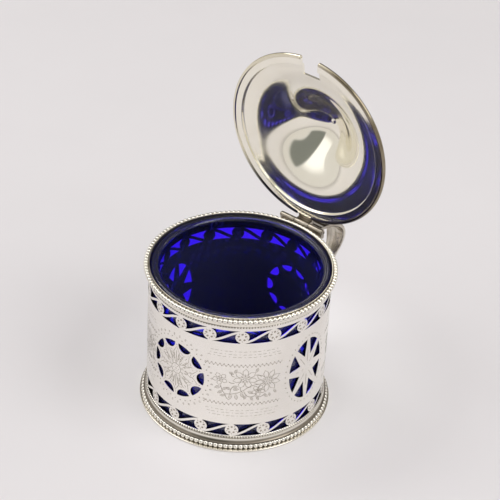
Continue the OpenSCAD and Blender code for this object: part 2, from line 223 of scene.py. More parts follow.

# Cut silver: the facets are bright-cut, and their lines are painted soft grey, as old polish in the cuts and
# as the shade that falls in them.
# On the left they are painted paler, nearly the colour of the sheet, as painted light on that grazing edge.
cut_silver, tree = new_material("engraved_cut_silver")
at, polish_and_cut_shade = clouded(tree, 0.8, 3.0, "#918B80", "#C0B8AC")
axes = add(tree, "ShaderNodeSeparateXYZ", {"Vector": at})
faded_left = add(tree, "ShaderNodeMapRange", {"Value": axes.outputs["X"], "From Min": FADE_FROM * MM,
                                          "From Max": FADE_TO * MM})
colour = add(tree, "ShaderNodeMix", {"Factor": faded_left.outputs["Result"], "A": polish_and_cut_shade,
                                     "B": linear("#E4DFD6")}, data_type="RGBA")
metal = add(tree, "ShaderNodeBsdfPrincipled", {"Base Color": colour.outputs[2], "Metallic": 1.0,
                                               "Roughness": 0.42})
add(tree, "ShaderNodeOutputMaterial", {"Surface": metal.outputs["BSDF"]})

cuts = bpy.data.curves.new("graver_cuts", "CURVE")
cuts.dimensions = "3D"
cuts.bevel_depth = CUT_R * MM
cuts.bevel_resolution = 0
cuts.use_fill_caps = True


def engrave(points, centre=(0.0, 0.0), closed=False, width=1.0):
    """One cut on the drum through points of (along, up) in millimetres from a centre of (angle, height)."""
    spline = cuts.splines.new("POLY")
    spline.points.add(len(points) - 1)
    for point, (along, up) in zip(spline.points, points):
        a = math.radians(centre[0]) + along / DRUM_R
        point.co = (DRUM_R * math.sin(a) * MM, -DRUM_R * math.cos(a) * MM, (centre[1] + up) * MM, 1)
        point.radius = width
    spline.use_cyclic_u = closed


def dot(centre, along, up, width=1.8):
    """A single prick of the graver."""
    half = CUT_R * width
    engrave([(along - half, up - half / 2), (along + half, up + half / 2)], centre, width=width)


def around(at, radius, degrees):
    """A point at a distance and a direction from another."""
    a = math.radians(degrees)
    return (at[0] + radius * math.cos(a), at[1] + radius * math.sin(a))


def petal(centre, at, turn, length, width, cut=1.0):
    """A leaf or petal outline that starts at a point and points along a turn in degrees."""
    shape = [(0, 0), (0.3, 0.8), (0.65, 0.9), (1, 0), (0.65, -0.9), (0.3, -0.8)]
    c, s = math.cos(math.radians(turn)), math.sin(math.radians(turn))
    engrave([(at[0] + c * x * length - s * y * width / 2, at[1] + s * x * length + c * y * width / 2)
             for x, y in shape], centre, closed=True, width=cut)


def sweep(centre, start, bend, end, width=1.2, steps=7):
    """A curved stem from one point to another."""
    pts = [Vector(start), Vector(bend), Vector(end)]
    engrave([tuple(pts[0] * (1 - t) ** 2 + pts[1] * 2 * t * (1 - t) + pts[2] * t * t)
             for t in (i / steps for i in range(steps + 1))], centre, width=width)


def flower(centre, at, count, size, heart, turn=0.0, share=0.36):
    """An open flower: pointed petals with a vein, round a small heart."""
    for k in range(count):
        way = turn + 360 * (k + 0.5) / count
        petal(centre, around(at, heart, way), way, size - heart, share * size)
        engrave([around(at, r, way) for r in (heart * 1.2, size * 0.45)], centre, width=0.9)
    engrave([around(at, 0.7 * heart, 60 * i) for i in range(6)], centre, closed=True)
    dot(centre, at[0], at[1], 1.5)


# The sprig, in millimetres from the middle of its panel. Flowers: place, petals, size, heart, turn, breadth.
# Stems: start, bend and end. Leaves: place, turn and length.
FLOWERS = (((8.6, 0.9), 9, 4.9, 1.0, 4.0, 0.4), ((0.5, 2.5), 7, 4.4, 1.0, 12.0, 0.5),
           ((5.3, -3.0), 5, 2.6, 0.5, 20.0, 0.62), ((-8.3, 2.0), 5, 2.7, 0.7, 10.0, 0.65))
STEMS = (((-8.0, -0.6), (-7.6, -3.2), (-6.3, -4.6)), ((-6.3, -4.6), (-6.0, -6.4), (-4.8, -7.0)),
         ((-6.2, -4.4), (-2.0, -4.6), (1.2, -1.6)), ((1.2, -1.6), (3.0, -0.2), (5.4, -0.1)),
         ((-4.6, -4.4), (-4.6, -2.0), (-3.4, -0.6)), ((-3.2, 3.4), (-4.6, 3.4), (-4.4, 4.8)),
         ((0.2, -3.0), (0.8, -5.2), (2.6, -5.6)), ((2.6, -5.6), (4.6, -5.4), (4.4, -4.2)),
         ((4.4, -5.6), (6.4, -6.4), (8.0, -4.6)), ((4.0, 4.0), (5.4, 4.4), (6.2, 3.0)),
         ((-1.0, -1.2), (-1.2, -2.6), (-0.2, -3.6)), ((-5.2, 1.0), (-4.2, 0.2), (-3.2, 0.6)))
LEAVES = ((-7.9, -1.4, 200, 2.4), (-7.4, -2.6, 30, 2.1), (-7.2, -3.2, 215, 2.2), (-6.2, -5.0, 190, 1.9),
          (-4.4, -4.4, 265, 2.3), (-2.6, -4.4, 280, 2.4), (-0.9, -3.8, 300, 2.2), (-4.4, -2.4, 150, 1.9),
          (-4.0, -1.4, 20, 2.1), (-1.6, -2.0, 190, 2.0), (1.6, -3.0, 330, 2.2), (1.0, -4.8, 250, 1.9),
          (2.8, -5.6, 290, 1.7), (4.8, -5.8, 300, 1.6), (7.4, -5.0, 320, 1.9), (-3.6, 4.4, 150, 1.9),
          (-3.4, 5.0, 60, 1.8), (4.2, 5.2, 70, 2.0), (11.0, -3.8, 310, 1.7), (9.4, -4.6, 280, 1.6))
LEAF_BREADTH = 0.46
# The wriggled borders: heights, zigzags, where they start, their pitch and half their rise.
BORDERS = (8.2, -8.8)
WRIGGLES = 37
WRIGGLE_X = -13.4
WRIGGLE_STEP = 0.74
WRIGGLE_RISE = 0.45
# The broken lines above and below the borders: height and half length.
LINES = ((14.3, 11.5), (13.0, 12.0), (11.9, 12.5), (-11.7, 12.5), (-12.9, 12.0), (-14.2, 11.5))
for quarter in range(4):
    panel = (PANEL_TURN + 90 * quarter, MEDAL_Z)
    for parts in FLOWERS:
        flower(panel, *parts)
    for start, bend, end in STEMS:
        sweep(panel, start, bend, end)
    for x, z, turn, size in LEAVES:
        petal(panel, (x, z), turn, size, LEAF_BREADTH * size)
        engrave([around((x, z), r, turn) for r in (0.3 * size, 0.75 * size)], panel, width=0.9)
    for border_z in BORDERS:
        for i in range(WRIGGLES):
            x = WRIGGLE_X + WRIGGLE_STEP * i
            rise = WRIGGLE_RISE if i % 2 else -WRIGGLE_RISE
            half = WRIGGLE_STEP / 2
            engrave([(x - half, border_z + rise), (x + half, border_z - rise)], panel, width=0.7)
            dot(panel, x - 0.34, border_z + rise, 1.9)
    for line_z, half in LINES:
        for i in range(-7, 8):
            x = half * i / 7
            if (i + round(line_z)) % 3:
                engrave([(x - 0.6, line_z), (x + 0.6, line_z + 0.05)], panel, width=0.6)
            else:
                dot(panel, x, line_z + 0.1, 1.1)
# The medallions face the front and the back: ten veined petals round a pricked heart, in a ring of pricks
# and small leaves. The stars face the sides, with a cut along each ray and pricks all round.
MEDAL_PRICK_R = 13.2
MEDAL_LEAF_R = 14.1
STAR_HALF = (10.0, 14.3)
RAY_HALF = (8.3, 12.8)
for half_turn in range(2):
    medal = (MEDAL_TURN + 180 * half_turn, MEDAL_Z)
    for k in range(10):
        turn = 36 * k + 18
        petal(medal, around((0, 0), 2.4, turn), turn, 7.2, 3.0, 1.2)
        for lean, near, far in ((-9, 4.0, 6.6), (0, 3.0, 7.8), (9, 4.0, 6.6)):
            engrave([around((0, 0), r, turn + lean) for r in (near, far)], medal, width=1.1)
        for r in (4.8, 6.2, 7.4):
            engrave([around((0, 0), r, turn + 14), around((0, 0), r + 0.5, turn + 22)], medal, width=0.8)
        dot(medal, *around((0, 0), 10.4, turn), 1.6)
    engrave([around((0, 0), 2.1, 20 * i) for i in range(18)], medal, closed=True, width=1.1)
    for k in range(6):
        dot(medal, *around((0, 0), 1.1, 60 * k), 1.5)
    dot(medal, 0.0, 0.0, 2.0)
    for k in range(36):
        dot(medal, *around((0, 0), MEDAL_PRICK_R, 10 * k), 2.0)
        petal(medal, around((0, 0), MEDAL_LEAF_R, 10 * k + 5), 10 * k + 5, 0.9, 0.5, 0.7)
    star = (MEDAL_TURN + 90 + 180 * half_turn, MEDAL_Z)
    for k in range(36):
        a = math.radians(10 * k)
        dot(star, STAR_HALF[0] * math.cos(a), STAR_HALF[1] * math.sin(a), 2.0)
    for k in range(8):
        a = math.radians(45 * k)
        ray = [(RAY_HALF[0] * t * math.cos(a), RAY_HALF[1] * t * math.sin(a)) for t in (0.22, 0.62)]
        engrave(ray, star)
# Each rosette of the bands has five pricks with a short cut between them.
for k in range(18):
    for middle in ((UPPER_TURN + 20 * k, UPPER_Z), (LOWER_TURN + 20 * k, LOWER_Z)):
        for i in range(5):
            dot(middle, *around((0, 0), 1.3, 72 * i + 18), 3.7)
            engrave([around((0, 0), r, 72 * i + 54) for r in (1.5, 2.1)], middle, width=1.2)

# The round cuts are pressed flat on the drum, so that they stand only a hair above its skin.
carrier = bpy.data.objects.new("graver_path", cuts)
bpy.context.scene.collection.objects.link(carrier)
bpy.context.view_layer.update()
cut_mesh = bpy.data.meshes.new_from_object(carrier.evaluated_get(bpy.context.evaluated_depsgraph_get()))
bpy.data.objects.remove(carrier)
for v in cut_mesh.vertices:
    out = math.hypot(v.co.x, v.co.y)
    flat = ((DRUM_R + CUT_LIFT) * MM + (out - DRUM_R * MM) * CUT_RISE) / out
    v.co.x *= flat
    v.co.y *= flat
cut_mesh.shade_flat()
cut_mesh.materials.clear()
cut_mesh.materials.append(cut_silver)
engraving = bpy.data.objects.new("drum_engraving", cut_mesh)
bpy.context.scene.collection.objects.link(engraving)
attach(engraving, "pot")

# Foot beading: cast beaded wire, bent into a ring and soldered on the flange. The beads are bright on their
# crowns; the gaps between them and their undersides are painted dark, as polish residue and painted shade.
FOOT_BEADS = 118
FOOT_BEAD_R = 33.537
FOOT_BEAD_D = 1.875
# Shares of a bead's size: the core wire's radius, how far up it is painted dark with residue and shade, and
# how far out along the ring and up the residue and painted shade on a bead lie.
CORE_SHARE = 0.34
CORE_DIRT_AND_SHADE = 0.16
POLE_SHARE = 0.41
POLE_DIRT_AND_SHADE = 0.2

# Cast silver: bright on its crowns, and greyer in its hollows as tarnish and painted shade.
trim_silver, tree = new_material("cast_silver_trim")
_, patina = clouded(tree, 3, 3.0, "#F9F5EC", "#F0ECE4")
hollow = add(tree, "ShaderNodeAmbientOcclusion", {"Distance": 0.8 * MM}, samples=6)
reach = add(tree, "ShaderNodeMapRange", {"Value": hollow.outputs["AO"], "From Min": 0.05, "From Max": 0.45})
colour = add(tree, "ShaderNodeMix", {"Factor": reach.outputs["Result"], "A": linear("#CCC8C0"),
                                     "B": patina}, data_type="RGBA")
metal = add(tree, "ShaderNodeBsdfPrincipled", {"Base Color": colour.outputs[2], "Metallic": 1.0,
                                               "Roughness": 0.2})
add(tree, "ShaderNodeOutputMaterial", {"Surface": metal.outputs["BSDF"]})

# Dried polish and tarnish packed in the gaps, with painted shade in the gaps, under the beads and in the
# knurled grooves: matt, dark brown-grey, slightly uneven.
residue_and_shade, tree = new_material("polish_residue_and_painted_shade")
_, colour = clouded(tree, 1.5, 2.0, "#756F65", "#A0998D")
dirt = add(tree, "ShaderNodeBsdfPrincipled", {"Base Color": colour, "Roughness": 0.75})
add(tree, "ShaderNodeOutputMaterial", {"Surface": dirt.outputs["BSDF"]})


def bead_ring(count, ring_r, size, z):
    """Beads on a core wire, each running into the next, with the lower gaps painted dark in the second
    material, as residue and shade.
    """
    core_r = CORE_SHARE * size
    core = [(ring_r + core_r * math.cos(math.radians(a)), z + core_r * math.sin(math.radians(a)))
            for a in range(0, 360, 45)]
    bm = turned(core, count * 2)
    # The lower faces of the core wire are painted dark, as polish residue and painted shade.
    for face in bm.faces:
        if face.calc_center_median().z < (z + CORE_DIRT_AND_SHADE * size) * MM:
            face.material_index = 1
    place = Matrix.Translation((0, -ring_r * MM, z * MM)) @ Matrix.Rotation(math.pi / 2, 4, "Y")
    bead = bmesh.ops.create_uvsphere(bm, u_segments=8, v_segments=8, radius=size / 2 * MM,
                                     matrix=place)["verts"]
    geom = list({g for v in bead for g in (v, *v.link_edges, *v.link_faces)})
    # The lower ends of each bead, where it meets the next, are painted dark the same way.
    for face in {f for v in bead for f in v.link_faces}:
        middle = face.calc_center_median()
        if abs(middle.x) > POLE_SHARE * size * MM and middle.z < (z + POLE_DIRT_AND_SHADE * size) * MM:
            face.material_index = 1
    bmesh.ops.spin(bm, geom=geom, cent=(0, 0, 0), axis=(0, 0, 1), angle=2 * math.pi * (count - 1) / count,
                   steps=count - 1, use_duplicate=True)
    return bm


bm = bead_ring(FOOT_BEADS, FOOT_BEAD_R, FOOT_BEAD_D, BASE_T + FOOT_BEAD_D / 2)
foot_beads = make_object("foot_beads", bm, [trim_silver, residue_and_shade], sharp=180)
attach(foot_beads, "pot")
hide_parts("foot_beading")

# Foot cove: a hollow moulding drawn from strip, soldered round the drum above the beads. Its hollow is
# brown, as old tarnish and painted shade, and its upper edge is painted light.
COVE_Z = 2.605
COVE_H = 1.9
COVE_OUT = 1.2
COVE_LIP = 0.35
LIT_EDGE_LOW = 3.5
LIT_EDGE_HIGH = 4.0

# Silver of the cove: brown and softly clouded in the hollow, as tarnish and painted shade, with painted
# light on the upper edge.
brown_silver, tree = new_material("cove_tarnish_shade_and_light")
at, tarnish_and_shade = clouded(tree, 3, 3.0, "#6B645A", "#988F82")
axes = add(tree, "ShaderNodeSeparateXYZ", {"Vector": at})
lit_edge = add(tree, "ShaderNodeMapRange", {"Value": axes.outputs["Z"], "From Min": LIT_EDGE_LOW * MM,
                                         "From Max": LIT_EDGE_HIGH * MM})
colour = add(tree, "ShaderNodeMix", {"Factor": lit_edge.outputs["Result"], "A": tarnish_and_shade,
                                     "B": linear("#EFEBE1")}, data_type="RGBA")
metal = add(tree, "ShaderNodeBsdfPrincipled", {"Base Color": colour.outputs[2], "Metallic": 1.0,
                                               "Roughness": 0.3})
add(tree, "ShaderNodeOutputMaterial", {"Surface": metal.outputs["BSDF"]})
centre = (DRUM_R + COVE_LIP + COVE_H, COVE_Z + COVE_H)
arc = [(centre[0] - COVE_H * math.cos(math.radians(a)), centre[1] - COVE_H * math.sin(math.radians(a)))
       for a in range(0, 56, 5)]
toe = soft([(DRUM_R, COVE_Z), (DRUM_R + COVE_OUT, COVE_Z), (DRUM_R + COVE_OUT, arc[-1][1]), arc[-2]], 0.1)
bm = turned([*toe[:-1], *reversed(arc[:-1]), (DRUM_R, COVE_Z + COVE_H)], 240)
cove = make_object("hollow_moulding", bm, [brown_silver])
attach(cove, "pot")
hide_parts("foot_cove")

# Milled wires: half-round wire with a knurled face, one above the cove and one under the rim band. The
# ridges stand about a millimetre apart; the grooves between them and one slope of each are painted dark as
# shade.
MILLED_D = 1.0
RIDGES = 208
GROOVE_DEPTH = 0.22
GROOVE_ROOT = 0.05
GROOVE_LOW = -0.42
GROOVE_HIGH = 0.35
BAND_BOTTOM = 54.15


def milled_ring(z, ridges):
    """A half-round ring whose face is cut into ridges, with the grooves and one slope painted dark as shade
    in the second material.
    """
    half = [(DRUM_R + MILLED_D / 2 * math.cos(math.radians(a)), z + MILLED_D / 2 * math.sin(math.radians(a)))
            for a in (-90, -54, -18, 18, 54, 90)]
    bm = turned(half, ridges * 4)
    step = math.pi / 2 / ridges
    for v in bm.verts:
        out = math.hypot(v.co.x, v.co.y)
        if round(math.atan2(v.co.y, v.co.x) / step) % 4 > 1 and out > (DRUM_R + GROOVE_ROOT) * MM:
            v.co.x *= 1 - GROOVE_DEPTH * MM / out
            v.co.y *= 1 - GROOVE_DEPTH * MM / out
    # The grooves and one slope of each are painted dark, as the shade of the side light.
    for face in bm.faces:
        middle = face.calc_center_median()
        groove = math.floor(math.atan2(middle.y, middle.x) / step) % 4 in (1, 2)
        if groove and GROOVE_LOW < middle.z / MM - z < GROOVE_HIGH:
            face.material_index = 1
    return bm


bm = milled_ring(COVE_Z + COVE_H + MILLED_D / 2, RIDGES)
foot_wire = make_object("foot_knurl", bm, [trim_silver, residue_and_shade])
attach(foot_wire, "pot")
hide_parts("foot_milled_wire")
bm = milled_ring(BAND_BOTTOM - MILLED_D / 2, RIDGES)
rim_wire = make_object("rim_knurl", bm, [trim_silver, residue_and_shade])
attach(rim_wire, "pot")
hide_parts("rim_milled_wire")

# Rim band: a plain strip soldered round the mouth, rebated on its upper edge for the beads, with a thin wall
# that laps over the drum's edge and frames the glass. Its hidden inner side is painted dark, as tarnish and
# as the shade behind the glass lip.
RIM_Z = 57.5
BAND_R = 33.0
BEAD_SEAT_Z = 55.644
BEAD_SEAT_R = 32.55
RIM_IN = 32.25
SEAT_Z = 55.3
BAND_EASE = 0.15
LIP_EASE = 0.1
DARK_R = RIM_IN + 0.05
DARK_TOP = RIM_Z - 0.15
face_line = soft([(DRUM_R, BAND_BOTTOM), (BAND_R, BAND_BOTTOM), (BAND_R, BEAD_SEAT_Z),
                  (BEAD_SEAT_R, BEAD_SEAT_Z)], BAND_EASE)
lip_line = soft([(BEAD_SEAT_R, BEAD_SEAT_Z), (BEAD_SEAT_R, RIM_Z), (RIM_IN, RIM_Z), (RIM_IN, SEAT_Z)],
                LIP_EASE)
bm = turned([*face_line, *lip_line[1:], (DRUM_R, SEAT_Z)], 240)
for face in bm.faces:
    middle = face.calc_center_median()
    if math.hypot(middle.x, middle.y) < DARK_R * MM and middle.z < DARK_TOP * MM:
        face.material_index = 1
rim = make_object("rim_strip", bm, [polished_silver, dark_silver])
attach(rim, "pot")
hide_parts("rim_band")

# Rim beading: cast beaded wire like that of the foot, a little finer. It is bent into a ring and soldered
# in the rebate of the rim band, flush with its top.
RIM_BEADS = 121
RIM_BEAD_R = 33.493
RIM_BEAD_D = 1.826
bm = bead_ring(RIM_BEADS, RIM_BEAD_R, RIM_BEAD_D, RIM_Z - RIM_BEAD_D / 2)
rim_beads = make_object("rim_beads", bm, [trim_silver, residue_and_shade], sharp=180)
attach(rim_beads, "pot")
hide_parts("rim_beading")

# Glass liner: mould-blown cobalt glass, fire-polished, with a thick rolled lip that hangs on the
# drum's edge. Thin walls pass a vivid blue; thick glass and the lip look nearly black, and a thin dry
# film of old use dulls the cup below the lip.
LIP_R = 32.0
LIP_W = 3.2
LIP_TOP = 57.3
LINER_R = 31.25
LINER_Z = 1.5
CUP_R = 28.95
CUP_Z = 5.7
CUP_BEND = 4.0
FOOT_BEND = 2.2
NECK_Z = 53.0
FILM_LOW = 48
FILM_HIGH = 54

# Cobalt glass: smooth and clear, coloured by its depth alone, so thin parts glow and thick ones go dark.
# The film takes a few per cent of the light below the neck.
cobalt_glass, tree = new_material("cobalt_glass")
where = add(tree, "ShaderNodeTexCoord")
axes = add(tree, "ShaderNodeSeparateXYZ", {"Vector": where.outputs["Object"]})
clean = add(tree, "ShaderNodeMapRange", {"Value": axes.outputs["Z"], "From Min": FILM_LOW * MM,
                                         "From Max": FILM_HIGH * MM, "To Min": 0.95, "To Max": 0.985})
glass = add(tree, "ShaderNodeBsdfPrincipled", {"Base Color": (0.5, 0.55, 1.0, 1.0),
                                               "Transmission Weight": clean.outputs["Result"],
                                               "Roughness": 0.02, "IOR": 1.52})
tint = add(tree, "ShaderNodeVolumeAbsorption", {"Color": (0.5, 0.1, 1.0, 1.0), "Density": 2000.0})
add(tree, "ShaderNodeOutputMaterial", {"Surface": glass.outputs["BSDF"], "Volume": tint.outputs["Volume"]})
bend = LIP_W / 2
lip_mid = (LIP_R - bend, LIP_TOP - bend)
under = math.degrees(math.asin((SEAT_Z - lip_mid[1]) / bend))
lip = [(lip_mid[0] + bend * math.cos(math.radians(a)), lip_mid[1] + bend * math.sin(math.radians(a)))
       for a in (under + (180 - under) * i / 20 for i in range(21))]
outer = soft([(0, LINER_Z), (LINER_R, LINER_Z), (LINER_R, SEAT_Z), lip[0]], FOOT_BEND, 8)
outer = [p for p in outer if p[1] < SEAT_Z - 0.01]
inner = soft([lip[-1], (CUP_R, NECK_Z), (CUP_R, CUP_Z), (0, CUP_Z)], CUP_BEND, 10)[1:]
profile = [(0, LINER_Z), *outer[1:], (LINER_R, SEAT_Z), *lip, *inner]
liner = make_object("blown_liner", turned(profile, 200, closed=False), [cobalt_glass], sharp=60)
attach(liner, "liner")
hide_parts("glass_liner")

# Hinge on the pot: a small plate behind the rim carries two knuckles on webs, and the pin is riveted
# over at both ends. All are sawn and filed from silver, with their corners eased.
HINGE_Y = 35.606
HINGE_Z = 57.0
HINGE_L = 18.8
KNUCKLE_D = 2.1
KNUCKLE_GAP = 0.12
KNUCKLE_L = (HINGE_L - 2 * KNUCKLE_GAP) / 3
BRACKET_TOP = 55.6
BRACKET_LAP = 1.3
WEB_W = 1.7
WEB_SINK = 0.1
PIN_D = 1.0
PIN_HEAD_D = 1.6
PIN_HEAD_L = 0.4

# Silver of the hinge, which no cloth gets between: grey, and browner in patches about 2 mm across.
hinge_silver, tree = new_material("grey_hinge_silver")
_, colour = clouded(tree, 2, 3.0, "#807668", "#C4BDB2")
metal = add(tree, "ShaderNodeBsdfPrincipled", {"Base Color": colour, "Metallic": 1.0, "Roughness": 0.18})
add(tree, "ShaderNodeOutputMaterial", {"Surface": metal.outputs["BSDF"]})


def block(bm, low, high, ease=0.15):
    """A box between two corners in millimetres, with its edges eased."""
    size = [(b - a) * MM for a, b in zip(low, high)]
    middle = [(a + b) / 2 * MM for a, b in zip(low, high)]
    place = Matrix.Translation(middle) @ Matrix.Diagonal((*size, 1.0))
    cube = bmesh.ops.create_cube(bm, size=1.0, matrix=place)
    edges = list({e for v in cube["verts"] for e in v.link_edges})
    bmesh.ops.bevel(bm, geom=edges, offset=ease * MM, offset_type="OFFSET", segments=2, profile=0.5,
                    affect="EDGES", material=-1)


def barrel(bm, x0, x1, size, ease=0.15):
    """A round bar along the hinge between two x, with its ends eased."""
    place = (Matrix.Translation(((x0 + x1) / 2 * MM, HINGE_Y * MM, HINGE_Z * MM))
             @ Matrix.Rotation(math.pi / 2, 4, "Y"))
    made = bmesh.ops.create_cone(bm, cap_ends=True, segments=48, radius1=size / 2 * MM,
                                 radius2=size / 2 * MM, depth=(x1 - x0) * MM, matrix=place)
    rims = [e for e in {e for v in made["verts"] for e in v.link_edges}
            if abs(e.verts[0].co.x - e.verts[1].co.x) < 1e-7]
    bmesh.ops.bevel(bm, geom=rims, offset=ease * MM, offset_type="OFFSET", segments=2, profile=0.5,
                    affect="EDGES", material=-1)


bm = bmesh.new()
block(bm, (-HINGE_L / 2, BAND_R - BRACKET_LAP, BAND_BOTTOM),
      (HINGE_L / 2, HINGE_Y + KNUCKLE_D / 2, BRACKET_TOP))
bracket = make_object("hinge_plate", bm, [hinge_silver])
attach(bracket, "pot")
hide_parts("hinge_bracket")
bm = bmesh.new()
for x0 in (-HINGE_L / 2, HINGE_L / 2 - KNUCKLE_L):
    barrel(bm, x0, x0 + KNUCKLE_L, KNUCKLE_D)
    block(bm, (x0, HINGE_Y - WEB_W / 2, BRACKET_TOP - WEB_SINK),
          (x0 + KNUCKLE_L, HINGE_Y + WEB_W / 2, HINGE_Z))
knuckles = make_object("hinge_side_knuckles", bm, [hinge_silver])
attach(knuckles, "pot")
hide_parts("hinge_body_knuckles")
bm = bmesh.new()
barrel(bm, -HINGE_L / 2 - PIN_HEAD_L, HINGE_L / 2 + PIN_HEAD_L, PIN_D, 0.1)
barrel(bm, -HINGE_L / 2 - PIN_HEAD_L, -HINGE_L / 2, PIN_HEAD_D, 0.18)
barrel(bm, HINGE_L / 2, HINGE_L / 2 + PIN_HEAD_L, PIN_HEAD_D, 0.18)
pin = make_object("hinge_rivet_pin", bm, [hinge_silver])
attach(pin, "pot")
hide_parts("hinge_pin")

# Handle: a strap of flat silver, broad at the shoulder and narrow below, bent in one bow and soldered
# under the hinge plate. Its lower end stands on a domed round pad on the drum.
STRAP_T = 1.56
STRAP_W = 8.6
STRAP_LOW_W = 4.2
WIDEN_Z = 29.3
FULL_Z = 45.3
STRAP_STEPS = 60
STRAP_END = 0.962
STRAP_EASE = 0.4
PAD_Z = 14.2
PAD_R = 2.7
PAD_RISE = 0.9
PAD_SINK = 0.4
strap_points = [Vector(p) for p in ((33.8, 53.35), (63.92, 53.35), (69.92, 35.07), (31.5, PAD_Z))]

# Rubbed silver of the handle: streaks about a millimetre wide run along the strap, bright where
# fingers rub it and grey between.
handled_silver, tree = new_material("handled_sterling_silver")
where = add(tree, "ShaderNodeTexCoord")
along = add(tree, "ShaderNodeMapping", {"Vector": where.outputs["Object"], "Scale": (12, 1, 1)})
streak = add(tree, "ShaderNodeTexNoise", {"Vector": along.outputs["Vector"], "Scale": 1 / (14 * MM),
                                          "Detail": 3.0})
rub = add(tree, "ShaderNodeMapRange", {"Value": streak.outputs["Fac"], "From Min": 0.35, "From Max": 0.65})
colour = add(tree, "ShaderNodeMix", {"Factor": rub.outputs["Result"], "A": linear("#9A9284"),
                                     "B": linear("#DCD6CA")}, data_type="RGBA")
sheen = add(tree, "ShaderNodeMapRange", {"Value": streak.outputs["Fac"], "To Min": 0.12, "To Max": 0.24})
metal = add(tree, "ShaderNodeBsdfPrincipled", {"Base Color": colour.outputs[2], "Metallic": 1.0,
                                               "Roughness": sheen.outputs["Result"]})
add(tree, "ShaderNodeOutputMaterial", {"Surface": metal.outputs["BSDF"]})


def strap_at(t):
    """Middle line of the strap and its direction, as (y, z)."""
    a, b, c, d = strap_points
    point = a * (1 - t) ** 3 + b * 3 * t * (1 - t) ** 2 + c * 3 * t * t * (1 - t) + d * t ** 3
    along = (b - a) * (1 - t) ** 2 + (c - b) * 2 * t * (1 - t) + (d - c) * t * t
    return point, along.normalized()


bm = bmesh.new()
ring = [bm.verts.new() for _ in range(4)]
face = bm.faces.new(ring)
for i in range(STRAP_STEPS + 1):
    point, along = strap_at(STRAP_END * i / STRAP_STEPS)
    share = min(max((point[1] - WIDEN_Z) / (FULL_Z - WIDEN_Z), 0), 1)
    half = (STRAP_LOW_W + (STRAP_W - STRAP_LOW_W) * share * share * (3 - 2 * share)) / 2
    side = Vector((-along[1], along[0])) * STRAP_T / 2
    if i:
        made = bmesh.ops.extrude_face_region(bm, geom=[face])["geom"]
        face = next(g for g in made if isinstance(g, bmesh.types.BMFace))
        ring = list(face.verts)
    for v, (x, s) in zip(ring, ((-half, 1), (half, 1), (half, -1), (-half, -1))):
        v.co = Vector((x, point[0] + s * side[0], point[1] + s * side[1])) * MM
bmesh.ops.recalc_face_normals(bm, faces=bm.faces)
long_edges = [e for e in bm.edges if e.calc_face_angle(0) > 1.0]
bmesh.ops.bevel(bm, geom=long_edges, offset=STRAP_EASE * MM, offset_type="OFFSET", segments=3, profile=0.5,
                affect="EDGES", material=-1)
strap = make_object("bowed_strap", bm, [handled_silver])
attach(strap, "pot")
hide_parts("handle_strap")
button = [(PAD_R * math.cos(math.radians(a)), PAD_RISE * math.sin(math.radians(a)))
          for a in range(0, 90, 10)]
bm = turned([(0, -PAD_SINK), (PAD_R, -PAD_SINK), *button, (0, PAD_RISE)], 48)
bmesh.ops.rotate(bm, verts=bm.verts, cent=(0, 0, 0), matrix=Matrix.Rotation(-math.pi / 2, 3, "X"))
bmesh.ops.translate(bm, verts=bm.verts, vec=(0, DRUM_R * MM, PAD_Z * MM))
pad = make_object("strap_pad", bm, [polished_silver])
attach(pad, "pot")
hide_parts("handle_lower_pad")

# Lid: raised from one disc of sheet, with a flat flange, a small step and a dome that runs up like a
# bell. The spoon notch is sawn through its front edge. It stands open on the hinge.
LID_OPEN = 86.5
LID_R = 32.85
LID_Z = 58.1
LID_T = 0.8
STEP_R = 29.6
STEP_H = 1.2
DOME_H = 14.8
NOTCH_W = 7.0
NOTCH_L = 7.4
FRONT_Y = -20
FRONT_X = 8
FLANGE_TOP = LID_Z + LID_T
STEP_TOP = LID_Z + STEP_H
DOME_Z = STEP_TOP + DOME_H

# Mirror-bright silver of the lid, yellowed by the air: the inside was polished last and shows the
# glass below it clearly, with a trace of waviness from the hammer about 12 mm from dent to dent.
lid_silver, tree = new_material("mirror_polished_silver")
at, colour = clouded(tree, 9, 3.0, "#FDFAEF", "#F6F1E2")
waves = add(tree, "ShaderNodeTexNoise", {"Vector": at, "Scale": 1 / (12 * MM), "Detail": 1.0})
hammer = add(tree, "ShaderNodeBump", {"Height": waves.outputs["Fac"], "Strength": 0.12,
                                      "Distance": 0.3 * MM})
mirror = add(tree, "ShaderNodeBsdfPrincipled", {"Base Color": colour, "Metallic": 1.0,
                                                "Roughness": 0.09, "Normal": hammer.outputs["Normal"]})
bloom = add(tree, "ShaderNodeBsdfPrincipled", {"Base Color": colour, "Metallic": 1.0, "Roughness": 0.55})
metal = add(tree, "ShaderNodeMixShader", {"Fac": 0.07, 1: mirror.outputs["BSDF"], 2: bloom.outputs["BSDF"]})
add(tree, "ShaderNodeOutputMaterial", {"Surface": metal.outputs["Shader"]})


def opened(bm):
    """Turns what was made on the closed lid up to where the lid stands open."""
    bmesh.ops.rotate(bm, verts=bm.verts, cent=(0, HINGE_Y * MM, HINGE_Z * MM),
                     matrix=Matrix.Rotation(math.radians(-LID_OPEN), 3, "X"))


